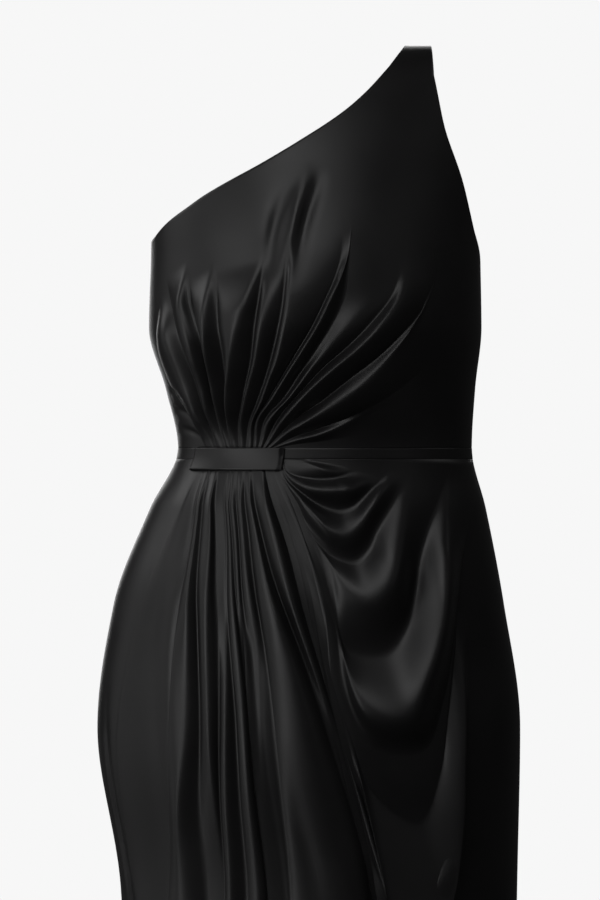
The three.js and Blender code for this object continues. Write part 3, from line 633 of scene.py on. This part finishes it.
def cloth_panel(name, folds, seam_drop, lay, shift, strap=None, edge=None):
    """One sewn panel: its folds, the strokes laid over them and its rolled edges."""
    if edge is None:
        grid = panel_grid(folds, seam_drop, strap=strap, **lay)
    else:
        grid = traced_grid(folds, edge, seam_drop, strap=strap, **lay)
    angle, reach, stand = grid["angle"], grid["reach"], grid["stand"]
    past_seam = 1 - np.exp(-((grid["travelled"] / SEAM_DIP_REACH) ** 2))
    stand = stand + relief(angle, reach) * ease(0, STROKE_START, grid["travelled"])
    stand -= SEAM_DIP * (1 - past_seam)
    outer, inner, uv = cloth_points(angle, reach, stand, stand - CLOTH, shift)
    ids = np.arange(angle.size).reshape(angle.shape)
    cells = grid_cells(ids)
    if grid["strap"]:
        s = grid["strap"]
        angle, reach = s["angle"], s["reach"]
        stand = relief(angle, reach)
        top = np.arange(angle.size).reshape(angle.shape) + len(outer)
        joined = np.concatenate([ids[s["first"]:s["last"] + 1, -1:], top], 1)
        cells = np.concatenate([cells, grid_cells(joined)])
        more = cloth_points(angle, reach, stand, stand - CLOTH, shift)
        outer, inner, uv = [np.concatenate(pair) for pair in zip((outer, inner, uv), more)]
    obj = shell(name + "_cloth", outer, inner, cells, uv, FACES, PANEL_LIP)
    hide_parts(name)
    return obj, grid, ids, outer, inner


def cloth_strip(name, turns, drops, cells, stand, thick, shift, materials, lip):
    """Strip that lies on the gown from one angle to another and between two drops.

    Its last angle may have a number for each row, and its stand may be a function of the share of
    the way across and the drop.
    """
    across, down = cells
    drop = np.linspace(*drops, down + 1)[None]
    share = np.linspace(0, 1, across + 1)[:, None]
    first, last = [0 * drop + turn for turn in turns]
    angle = first + (last - first) * share
    reach = np.sqrt(drop + 0 * share)
    height = stand(share, drop) if callable(stand) else 0 * share * drop + stand
    outer, inner, uv = cloth_points(angle, reach, height + thick, height, shift)
    ids = np.arange(angle.size).reshape(angle.shape)
    obj = shell(name + "_cloth", outer, inner, grid_cells(ids), uv, materials, lip)
    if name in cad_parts:
        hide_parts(name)
    return obj


def resampled(line, pitch):
    """Places, directions and the share of the way, at even steps along a line of points."""
    length = path_lengths(line[None])[0]
    count = max(int(length[-1] / pitch), 1)
    at = (np.arange(count) + 0.5) * length[-1] / count
    place, ahead, behind = [
        np.stack([np.interp(at + step, length, line[:, k]) for k in range(3)], 1) for step in (0, 0.5, -0.5)
    ]
    along = ahead - behind
    return place, along / np.linalg.norm(along, axis=1, keepdims=True), at / length[-1]


# Rings of a stitch or tooth: their places along it, their widths and their sides
BEAD_PLACES = np.array([-0.5, -0.43, -0.2, 0.2, 0.43, 0.5])
BEAD_WIDTHS = np.array([0.2, 0.75, 1, 1, 0.75, 0.2])
BEAD_SIDES = 6


def beads(name, places, along, up, length, radius, arch, material):
    """One small rounded bar at each place: a stitch, or a tooth of the zip."""
    side = np.cross(along, up)
    side /= np.linalg.norm(side, axis=1, keepdims=True)
    up = np.cross(side, along)
    turns = np.arange(BEAD_SIDES) * 2 * math.pi / BEAD_SIDES
    points = (
        places[:, None, None]
        + along[:, None, None] * (BEAD_PLACES * length)[None, :, None, None]
        + up[:, None, None] * (np.cos(turns)[None, :] * BEAD_WIDTHS[:, None] * radius
                               - arch * (2 * BEAD_PLACES[:, None]) ** 2)[None, ..., None]
        + side[:, None, None] * (np.sin(turns)[None, :] * BEAD_WIDTHS[:, None] * radius)[None, ..., None]
    )
    flat = points.reshape(-1, 3)
    faces = []
    for bead in np.arange(len(flat)).reshape(-1, len(BEAD_PLACES), BEAD_SIDES):
        faces += grid_cells(np.concatenate([bead, bead[:, :1]], 1)).tolist()
        faces += [bead[0, ::-1].tolist(), bead[-1].tolist()]
    return make_mesh(name, flat, faces, [0] * len(faces), flat[:, :2], [material])


def stitches(name, lines, length, pitch, material):
    """Rows of stitches; each line is points on the cloth and the way out of the cloth there."""
    proud, radius, arch = 0.12, 0.22, 0.3
    places, along, up = [], [], []
    for line, out in lines:
        place, direction, share = resampled(line, pitch)
        index = np.clip((share * (len(line) - 1)).round().astype(int), 0, len(line) - 1)
        places.append(place + out[index] * proud)
        along.append(direction)
        up.append(out[index])
    places, along, up = [np.concatenate(part) for part in (places, along, up)]
    return beads(name, places, along, up, length, radius, arch, material)


class Nodes:
    """Material whose shader nodes are added and linked in one line."""

    def __init__(self, name):
        self.material = bpy.data.materials.new(name)
        self.material.use_nodes = True
        self.tree = self.material.node_tree
        self.shader = self.tree.nodes["Principled BSDF"]

    def add(self, kind, inputs=None, **settings):
        node = self.tree.nodes.new("ShaderNode" + kind)
        for key, value in settings.items():
            setattr(node, key, value)
        for key, value in (inputs or {}).items():
            if isinstance(value, bpy.types.NodeSocket):
                self.tree.links.new(value, node.inputs[key])
            else:
                node.inputs[key].default_value = value
        return node

    def ramp(self, node, *stops):
        """Colour that runs between two stops of a noise, each a place and a colour."""
        colour = self.add("ValToRGB", {"Fac": node.outputs["Fac"]})
        for element, (place, shade) in zip(colour.color_ramp.elements, stops):
            element.position = place
            element.color = (*shade, 1)
        return colour.outputs["Color"]

    def set(self, **values):
        """Gives sockets of the shader a value or a link, each by its name in small letters."""
        for key, value in values.items():
            socket = self.shader.inputs[key.replace("_", " ").title().replace("Ior", "IOR")]
            if isinstance(value, bpy.types.NodeSocket):
                self.tree.links.new(value, socket)
            else:
                socket.default_value = value


# Scale of a wave texture that repeats once a metre, and how much longer the bands are lengthways
METRE_BANDS = 0.314
LENGTHWAYS = 1.6


def woven(name, dark, light, rough, band, depth, sheen, specular):
    """Cloth: fine slubs over faint broad bands both ways, and an uneven tone. Bands are in metres."""
    n = Nodes(name)
    uv = n.add("UVMap", uv_map="UVMap").outputs["UV"]
    bands = [
        n.add("TexWave", {"Vector": uv, "Scale": METRE_BANDS / width, "Distortion": distortion,
                          "Detail": 1.0, "Detail Scale": 0.4},
              wave_type="BANDS", bands_direction=direction).outputs["Fac"]
        for direction, width, distortion in (("X", band, 0.6), ("Y", band * LENGTHWAYS, 0.8))
    ]
    slub = n.add("TexNoise", {"Vector": uv, "Scale": 900.0, "Detail": 3.0})
    crossed = n.add("Math", {0: bands[0], 1: bands[1]}, operation="MULTIPLY")
    height = n.add("Math", {0: crossed.outputs[0], 1: slub.outputs["Fac"]}, operation="ADD")
    bump = n.add("Bump", {"Strength": 0.35, "Distance": depth * MM, "Height": height.outputs[0]})
    tone = n.add("TexNoise", {"Vector": uv, "Scale": 14.0, "Detail": 4.0})
    colour = n.ramp(tone, (0.3, dark), (0.7, light))
    gloss = n.add("MapRange", {"Value": tone.outputs["Fac"], "From Min": 0.3, "From Max": 0.7,
                               "To Min": rough[0], "To Max": rough[1]})
    n.set(base_color=colour, roughness=gloss.outputs["Result"], normal=bump.outputs["Normal"],
          sheen_weight=sheen, sheen_roughness=0.4, specular_ior_level=specular)
    return n.material


def lacquer(name):
    """Black lacquered metal of the zip's slider and pull, worn a little where it is handled."""
    n = Nodes(name)
    place = n.add("TexCoord").outputs["Object"]
    grain = n.add("TexNoise", {"Vector": place, "Scale": 900.0, "Detail": 4.0})
    wear = n.add("TexNoise", {"Vector": place, "Scale": 220.0, "Detail": 5.0})
    colour = n.ramp(wear, (0.55, (0.012, 0.012, 0.013)), (0.8, (0.05, 0.05, 0.052)))
    gloss = n.add("MapRange", {"Value": wear.outputs["Fac"], "To Min": 0.22, "To Max": 0.42})
    bump = n.add("Bump", {"Strength": 0.2, "Distance": 0.00004, "Height": grain.outputs["Fac"]})
    n.set(base_color=colour, roughness=gloss.outputs["Result"], normal=bump.outputs["Normal"], metallic=0.7)
    return n.material


# Colours, roughness, bands in metres, depth of the bump in millimetres, sheen and specular level
satin, crepe, tape_weave, thread, coil = [woven(name, *looks) for name, *looks in (
    ("satin_face", (0.0075, 0.0072, 0.0077), (0.011, 0.0105, 0.011), (0.36, 0.44), 0.34, 0.06, 0.04, 0.5),
    ("crepe_inside", (0.009, 0.009, 0.0095), (0.014, 0.014, 0.0145), (0.62, 0.74), 0.5, 0.1, 0.12, 0.35),
    ("tape_weave", (0.006, 0.006, 0.0065), (0.01, 0.01, 0.0105), (0.6, 0.75), 0.6, 0.12, 0.08, 0.3),
    ("sewing_thread", (0.012, 0.012, 0.013), (0.02, 0.02, 0.022), (0.45, 0.6), 0.2, 0.05, 0.1, 0.4),
    ("zip_coil", (0.01, 0.01, 0.011), (0.018, 0.018, 0.019), (0.3, 0.42), 0.3, 0.03, 0, 0.5),
)]
metal = lacquer("black_lacquer")
FACES = [satin, crepe]

# Panels of cloth, under their nodes' names. The front bodice's edge turns sharply at the strap.
STRAP_KNOTS = [15, 16]
PANELS = {}
for name, folds, seam_drop, lay, shift, strap, edge in (
    ("bodice_front", BODICE_FOLDS, WAIST_TOP, BODICE_LAY, "front", FRONT_STRAP,
     edge_curve(BODICE_EDGE, STRAP_KNOTS)),
    ("bodice_back_left", BACK_LEFT_FOLDS, WAIST_TOP, BACK_LAY, "left", BACK_STRAP, None),
    ("bodice_back_right", BACK_RIGHT_FOLDS, WAIST_TOP, BACK_LAY, "right", None, None),
    ("skirt_front", SKIRT_FOLDS, WAIST_LOW, SKIRT_LAY, "front", None, edge_curve(SKIRT_EDGE, [])),
):
    PANELS[name] = cloth_panel(name, folds, seam_drop, lay, shift, strap, edge)

# The back skirt's folds hang straight down, and a share past 1 keeps them as deep at the hem
PAST_HEM = 1.6
for name, side in SIDES.items():
    rows = []
    drops = np.linspace(WAIST_LOW, HEM, 5)[1:]
    for turn, lift in SKIRT_BACK_TURNS:
        angle = side * (90 + turn)
        rows.append((angle, *[number for drop in drops for number in (angle, drop)], lift, PAST_HEM))
    PANELS["skirt_back_" + name] = cloth_panel(
        "skirt_back_" + name, rows, WAIST_LOW, SKIRT_BACK_LAY, name)


def inside_line(panel, columns, row):
    """Points on the inside of a panel along one of its rows, and the way into the gown there."""
    _, _, ids, outer, inner = PANELS[panel]
    line = ids[columns, row]
    out = inner[line] - outer[line]
    return inner[line], out / np.linalg.norm(out, axis=1, keepdims=True)


# Understitching inside the neckline and armhole, not at the side seams, and blind stitches inside
# the hem, on rows of the grid counted back from the edge
HEM_ROW, EDGE_ROW = -4, -2
# Length and pitch of the stitches
HEM_STITCH, EDGE_STITCH, TAPE_STITCH = (3, 9), (2.2, 3.2), (2.2, 3.0)
SEWN = {}
for name in PANELS:
    grid = PANELS[name][1]
    ends, drops = grid["angle"][:, -1], grid["reach"][:, -1] ** 2
    count = np.arange(len(ends))
    if name.startswith("skirt"):
        line = inside_line(name, drops > HEM - 1, HEM_ROW)
        SEWN[name] = stitches(name + "_hem_stitches", [line], *HEM_STITCH, thread)
        continue
    strap = grid["strap"] or dict(first=len(ends), last=len(ends))
    free = (name != "bodice_front") | (np.abs(np.abs(ends) - 90) > 0.05)
    runs = [free & (count <= strap["first"]), free & (count >= strap["last"])]
    lines = [inside_line(name, run, EDGE_ROW) for run in runs if run.sum() > 3]
    SEWN[name] = stitches(name + "_edge_stitches", lines, *EDGE_STITCH, thread)

# Seam allowances: cloth turned in behind the side seams, and behind the back seam below the zip.
# Each has its panel, its middle and half its width in degrees, and its drops, which stop short of
# the panel's edge, the waist, the hem and the zip.
ALLOWANCES = {name: [] for name in PANELS}
ALLOWANCE_STAND, ALLOWANCE_THICK = -2.1, 0.5
OFF_EDGE, OFF_WAIST, OFF_HEM, OFF_ZIP = 1.5, 0.5, 3, 2
ZIP_LOW = 560
corners = PANELS["bodice_front"][1]["reach"][[0, -1], -1] ** 2
for name, panel, middle, spread, top, low, shift in (
    ("bodice_seam_right", "bodice_front", -90, 4, corners[0] + OFF_EDGE, WAIST_TOP - OFF_WAIST, "front"),
    ("bodice_seam_left", "bodice_front", 90, 4, corners[1] + OFF_EDGE, WAIST_TOP - OFF_WAIST, "front"),
    ("skirt_seam_right", "skirt_front", -90, 4, WAIST_LOW + OFF_WAIST, HEM - OFF_HEM, "front"),
    ("skirt_seam_left", "skirt_front", 90, 4, WAIST_LOW + OFF_WAIST, HEM - OFF_HEM, "front"),
    ("skirt_seam_back", "skirt_back_left", 180, 2.5, ZIP_LOW + OFF_ZIP, HEM - OFF_HEM, "left"),
):
    turns = (middle - spread, middle + spread)
    ALLOWANCES[panel].append(cloth_strip(
        name, turns, (top, low), (6, 160), ALLOWANCE_STAND, ALLOWANCE_THICK, shift, FACES, STRIP_LIP))

# Waistband: flat, with edges that round off over the last of its width
BAND_ROUND = 0.15


def band_stand(share, drop):
    off_middle = (drop - WAIST_MIDDLE) / (WAIST_LOW - WAIST_MIDDLE)
    return 0 * share - CLOTH + BAND_ROUND * (1 - off_middle**4)


BANDS = {}
for name, start, end, across, shift in (
    ("waistband_front", -90, 90, 160, "front"),
    ("waistband_back_left", 90, 180, 80, "left"),
    ("waistband_back_right", -180, -90, 80, "right"),
):
    BANDS[name] = cloth_strip(name, (start, end), (WAIST_TOP, WAIST_LOW), (across, 10), band_stand, CLOTH,
                              shift, FACES, PANEL_LIP)

# Keeper loop: its angles and drops, its thickness and rounded edge, how far it stands out over the
# pleats and at its lower left corner, the share of its length over which it rises, and the drops
# between which the corner lifts
LOOP_TURNS, LOOP_DROPS = (-60, -16), (374.4, 394)
LOOP_THICK, LOOP_LIP = 1.6, 0.7
LOOP_STAND, LOOP_CORNER, LOOP_RISE = 2.4, 1.4, 0.04
LOOP_LIFT = (380, 384)


def loop_stand(share, drop):
    low_end = np.where(share > 0.5, LOOP_CORNER, SEAM_GAP)
    at_end = SEAM_GAP + (low_end - SEAM_GAP) * ease(*LOOP_LIFT, drop)
    return at_end + (LOOP_STAND - at_end) * ease(0, LOOP_RISE, np.minimum(share, 1 - share))


loop = cloth_strip("pleat_loop", LOOP_TURNS, LOOP_DROPS, (120, 24), loop_stand, LOOP_THICK, "front",
                   [satin, satin], LOOP_LIP)

# Zip: tapes, the stitches that hold them at two distances from the middle, and the coil's teeth,
# which take turns on their inner side
ZIP_TOP = 102
TAPE_STAND, TAPE_THICK, TAPE_WIDTH = -4.0, 0.6, 11
TAPE_STITCHES = (4.5, 9.6)
TEETH_TOP, TOOTH_PITCH, TOOTH_OFF, TOOTH_DEPTH = 113, 1.6, 0.9, 0.5
TOOTH_LENGTH, TOOTH_RADIUS, TOOTH_ARCH = 3.0, 0.55, 0.15
TAPES = {}


def beside_zip(drop, off, stand, side):
    """Place inside the centre back, off millimetres to one side, and the way into the gown."""
    reach = np.sqrt(drop)
    angle = side * (180 - np.degrees(off / section(180, reach)[1]))
    normal = figure_normal(angle, reach)
    shift = SHIFTS["left" if side > 0 else "right"]
    return figure_point(angle, reach) + np.array(shift) + normal * stand, -normal


teeth = []
for name, side in SIDES.items():
    rows = 120
    far = np.sqrt(np.linspace(ZIP_TOP, ZIP_LOW, rows + 1))
    turns = (side * 180, side * (180 - np.degrees(TAPE_WIDTH / section(180, far)[1])))
    tape = cloth_strip("zip_tape_" + name, turns, (ZIP_TOP, ZIP_LOW), (8, rows), TAPE_STAND, TAPE_THICK,
                       name, [tape_weave, tape_weave], STRIP_LIP)
    line = np.linspace(ZIP_TOP + 2, ZIP_LOW - 4, 300)
    lines = [beside_zip(line, off, TAPE_STAND, side) for off in TAPE_STITCHES]
    TAPES[name] = (tape, stitches("zip_tape_" + name + "_stitches", lines, *TAPE_STITCH, thread))
    drop = np.arange(TEETH_TOP, ZIP_LOW - 4, TOOTH_PITCH) + (TOOTH_PITCH / 2 if side > 0 else 0)
    place, up = beside_zip(drop, TOOTH_OFF, TAPE_STAND - TOOTH_DEPTH, side)
    teeth.append((place, np.tile((1.0, 0, 0), (len(place), 1)), up))
teeth = [np.concatenate(part) for part in zip(*teeth)]
coil_teeth = beads("zip_teeth", *teeth, TOOTH_LENGTH, TOOTH_RADIUS, TOOTH_ARCH, coil)

for name in ("zip_slider", "zip_pull"):
    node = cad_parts[name]
    node.data.materials.clear()
    node.data.materials.append(metal)

# Cut of what shows of each piece of cloth: width, length and area in metres, and how it is held
CUTS = {
    "bodice_front": (0.44, 0.40, 0.125, "gathered"),
    "bodice_back_left": (0.21, 0.38, 0.058, "hung"),
    "bodice_back_right": (0.20, 0.28, 0.044, "hung"),
    "waistband_front": (0.38, 0.011, 0.0041, "stretched"),
    **{"waistband_back_" + side: (0.18, 0.011, 0.0019, "stretched") for side in SIDES},
    "pleat_loop": (0.105, 0.02, 0.0021, "folded"),
    "skirt_front": (0.72, 1.12, 0.61, "gathered"),
    **{"skirt_back_" + side: (0.35, 1.11, 0.284, "hung") for side in SIDES},
    **{"zip_tape_" + side: (0.0115, 0.47, 0.0054, "hung") for side in SIDES},
}
for name, (width, length, area, held) in CUTS.items():
    if name in PANELS:
        piece, extra = PANELS[name][0], [SEWN[name], *ALLOWANCES[name]]
    elif name in BANDS:
        piece, extra = BANDS[name], []
    elif name == "pleat_loop":
        piece, extra = loop, []
    else:
        piece, *extra = TAPES[name.removeprefix("zip_tape_")]
        extra += [coil_teeth] if name.endswith("left") else []

# Floor, camera and light, in metres
FLOOR_RADIUS, FLOOR_DROP, FLOOR_SIDES = 5, 1.5, 96
floor_mesh = bpy.data.meshes.new("floor")
turns = np.linspace(0, 2 * math.pi, FLOOR_SIDES, endpoint=False)
rim = [(FLOOR_RADIUS * math.cos(turn), FLOOR_RADIUS * math.sin(turn), -FLOOR_DROP) for turn in turns]
floor_mesh.from_pydata(rim, [], [list(range(FLOOR_SIDES))])
floor = placed("floor", floor_mesh)
n = Nodes("pale_floor")
grain = n.add("TexNoise", {"Scale": 3.0})
pale = n.add("MapRange", {"Value": grain.outputs["Fac"], "To Min": 0.78, "To Max": 0.82})
n.set(base_color=pale.outputs["Result"], roughness=0.8, emission_color=(1, 1, 1, 1), emission_strength=0.6)
floor_mesh.materials.append(n.material)
floor.visible_diffuse = False
floor.visible_glossy = False

# The sensor takes in the picture's height
SENSOR = 36
camera_data = bpy.data.cameras.new("camera")
camera_data.sensor_width = SENSOR
camera_data.lens = SENSOR / 2 / (PICTURE_DROP * PIXEL / VIEW_BACK)
camera = placed("camera", camera_data)
camera.location = (VIEW_SIDE * MM, -VIEW_BACK * MM, -VIEW_DROP * MM)
camera.rotation_euler = (math.radians(90), 0, 0)
scene.camera = camera

GOWN_MIDDLE = np.array((-0.1, 0, -0.55))


def softbox(name, place, width, height, power):
    """Rectangle of light that faces the middle of the gown, and that the camera doesn't see."""
    light = bpy.data.lights.new(name, "AREA")
    light.shape = "RECTANGLE"
    light.size, light.size_y, light.energy = width, height, power
    obj = placed(name, light)
    obj.visible_camera = False
    obj.location = place
    direction = GOWN_MIDDLE - np.array(place)
    flat = math.hypot(direction[0], direction[1])
    obj.rotation_euler = (math.atan2(flat, -direction[2]), 0, math.atan2(-direction[0], direction[1]))


# Lights: place, width, height and power
softbox("key_left", (-2.3, -2.6, 0.3), 1.4, 2.0, 11)
softbox("low_left", (-2.6, -1.8, -0.6), 0.8, 2.0, 10)
softbox("side_left", (-3.2, 0.2, -0.3), 2.2, 3.0, 8)
softbox("upper_left", (-3.0, 0.5, 1.8), 2.0, 2.0, 22)
softbox("upper_front", (-0.6, -3.4, 1.6), 2.2, 1.6, 20)
softbox("top_front", (-0.9, -2.3, 2.8), 1.4, 1.4, 8)
softbox("right", (2.5, -2.5, 0.8), 1.4, 2.0, 1.5)
softbox("upper_right", (3.0, 0.3, 2.4), 1.4, 1.4, 5)
softbox("back_right", (0.6, 3.6, 1.2), 1.4, 1.8, 24)
softbox("back_left", (-1.0, 3.5, 0.3), 1.4, 2.2, 22)

# Strength of the pale surroundings: as light on the gown, and as the backdrop the camera sees
FILL, BACKDROP = 0.02, 0.93
world = bpy.data.worlds.new("world")
scene.world = world
world.use_nodes = True
tree = world.node_tree
background = tree.nodes["Background"]
background.inputs["Color"].default_value = (1, 1, 1, 1)
path = tree.nodes.new("ShaderNodeLightPath")
strength = tree.nodes.new("ShaderNodeMapRange")
strength.inputs["To Min"].default_value = FILL
strength.inputs["To Max"].default_value = BACKDROP
tree.links.new(path.outputs["Is Camera Ray"], strength.inputs["Value"])
tree.links.new(strength.outputs["Result"], background.inputs["Strength"])
scene.view_settings.view_transform = "Standard"
